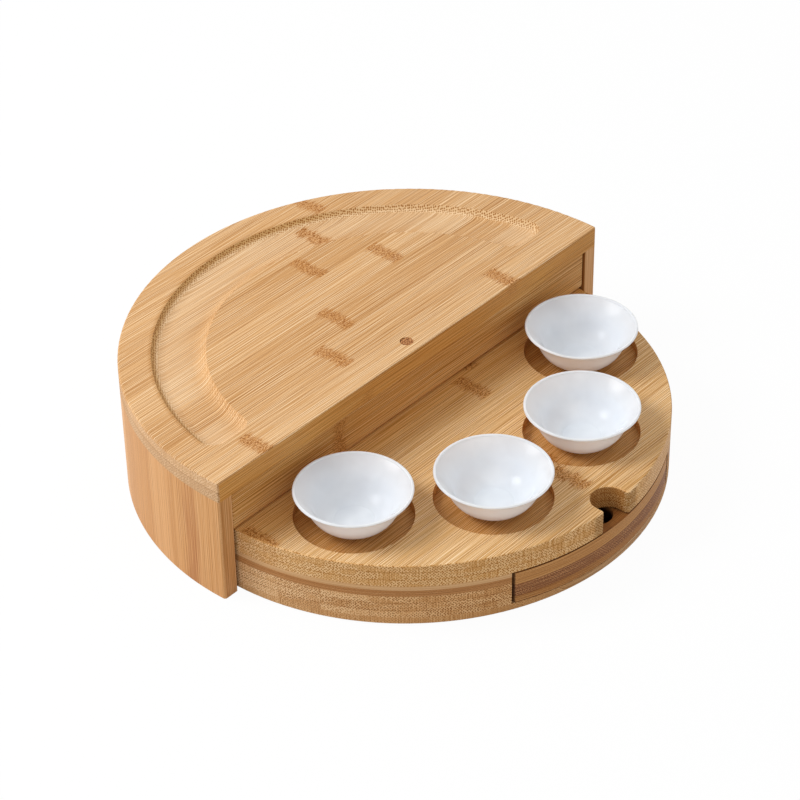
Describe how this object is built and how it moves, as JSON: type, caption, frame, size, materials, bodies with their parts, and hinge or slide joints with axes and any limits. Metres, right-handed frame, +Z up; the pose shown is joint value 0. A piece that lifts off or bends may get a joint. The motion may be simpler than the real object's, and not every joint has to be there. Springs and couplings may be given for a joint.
{
  "type": "serving platter",
  "caption": "Half-round bamboo serving platter: grooved lid on a curved wall, swivelling tray with round recesses for dip bowls, and a curved-front drawer below.",
  "frame": {"origin": "on the table, under the middle of the open platter's length and depth; the pivot stands 6 mm in front of it", "axes": "+X along the lid's straight edge to the right, +Y to the back of the housing, +Z up"},
  "size_m": [0.33, 0.318, 0.0807],
  "materials": {
    "bamboo": "satin oiled bamboo strips",
    "drawer_bamboo": "satin oiled bamboo",
    "carbonised_bamboo": "satin carbonised bamboo",
    "dowel_wood": "end grain",
    "steel": "plated",
    "brass": "machined",
    "glide": "matt slip pad",
    "porcelain": "gloss white glaze"
  },
  "bodies": {
    "housing": {"lid_board": "bamboo", "side_wall": "bamboo", "lid_dowels": "dowel_wood", "pivot_plug": "dowel_wood"},
    "tray": {"tray_top_board": "bamboo", "tray_left_light_ply": "bamboo", "tray_left_dark_ply": "carbonised_bamboo", "tray_left_core": "bamboo", "tray_right_light_ply": "bamboo", "tray_right_dark_ply": "carbonised_bamboo", "tray_right_core": "bamboo", "tray_rear_block": "bamboo", "tray_base_sheet": "bamboo", "tray_glides": "glide", "partition_panel": "bamboo", "partition_dowels": "dowel_wood", "pivot_bolt": "steel", "pivot_insert": "brass", "pivot_washer": "steel"},
    "drawer": {"drawer_front_upper_ply": "drawer_bamboo", "drawer_front_dark_ply": "carbonised_bamboo", "drawer_front_lower_ply": "drawer_bamboo", "drawer_floor": "bamboo", "drawer_left_side": "bamboo", "drawer_right_side": "bamboo", "drawer_back": "bamboo"},
    "bowl_left_outer": {"bowl_left_outer": "porcelain"},
    "bowl_left_inner": {"bowl_left_inner": "porcelain"},
    "bowl_right_inner": {"bowl_right_inner": "porcelain"},
    "bowl_right_outer": {"bowl_right_outer": "porcelain"}
  },
  "joints": [
    {"name": "tray_swivel", "type": "hinge", "parent": "housing", "child": "tray", "pos_m": [0, -0.006, 0], "axis": [0, 0, 1], "range_deg": [-180, 0]},
    {"name": "drawer_slide", "type": "slide", "parent": "tray", "child": "drawer", "axis": [0, -1, 0], "range_m": [0, 0.1]},
    {"name": "bowl_left_outer_lift", "type": "slide", "parent": "tray", "child": "bowl_left_outer", "axis": [0, 0, 1], "range_m": [0, 0.04]},
    {"name": "bowl_left_inner_lift", "type": "slide", "parent": "tray", "child": "bowl_left_inner", "axis": [0, 0, 1], "range_m": [0, 0.04]},
    {"name": "bowl_right_inner_lift", "type": "slide", "parent": "tray", "child": "bowl_right_inner", "axis": [0, 0, 1], "range_m": [0, 0.04]},
    {"name": "bowl_right_outer_lift", "type": "slide", "parent": "tray", "child": "bowl_right_outer", "axis": [0, 0, 1], "range_m": [0, 0.04]}
  ]
}
